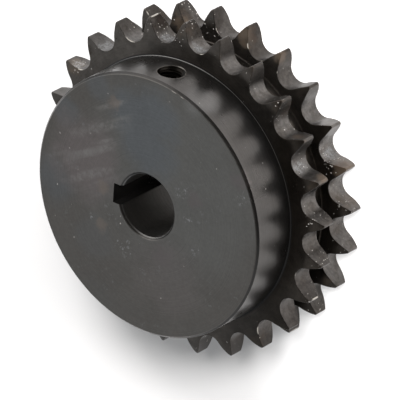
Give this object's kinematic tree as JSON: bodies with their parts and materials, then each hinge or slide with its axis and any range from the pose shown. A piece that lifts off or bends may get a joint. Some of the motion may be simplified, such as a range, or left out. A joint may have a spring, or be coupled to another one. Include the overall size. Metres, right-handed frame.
{
  "type": "chain sprocket",
  "caption": "Roller chain sprocket for a double-strand chain, with a hub on one side, a keyed bore and a tapped hole for a set screw.",
  "frame": {"origin": "on the axis of the bore, in the plane of the flat back face that it stands on", "axes": "+Z along the bore from the back face to the hub face; +X through the middle of the keyway and the tooth over it; the set screw's hole points along -Y"},
  "size_m": [0.1335, 0.1338, 0.045],
  "materials": {
    "steel": "satin black oxide over machined steel"
  },
  "bodies": {
    "root": {"sprocket": "steel"}
  },
  "joints": []
}
